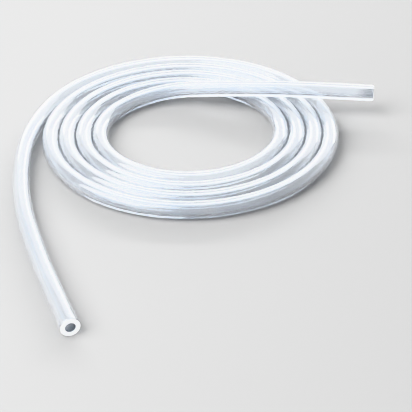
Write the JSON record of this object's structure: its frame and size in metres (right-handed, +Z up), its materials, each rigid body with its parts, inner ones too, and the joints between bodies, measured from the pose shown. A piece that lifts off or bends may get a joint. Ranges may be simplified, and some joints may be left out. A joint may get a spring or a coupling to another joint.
{
  "type": "silicone tubing coil",
  "caption": "Length of clear silicone laboratory tubing wound into a flat coil, with the outer end led off on the ground and the inner end crossing over the turns.",
  "frame": {"origin": "middle of the footprint, on the surface that the tube lies on", "axes": "+Z up, +Y along the longer side of the footprint, away from the outer end, +X towards the inner end"},
  "size_m": [0.1976, 0.2546, 0.0189],
  "materials": {
    "silicone": "clear to slightly milky silicone rubber, smooth extruded surface with a soft gloss, square cut ends"
  },
  "bodies": {
    "root": {"tubing": "silicone"}
  },
  "joints": []
}
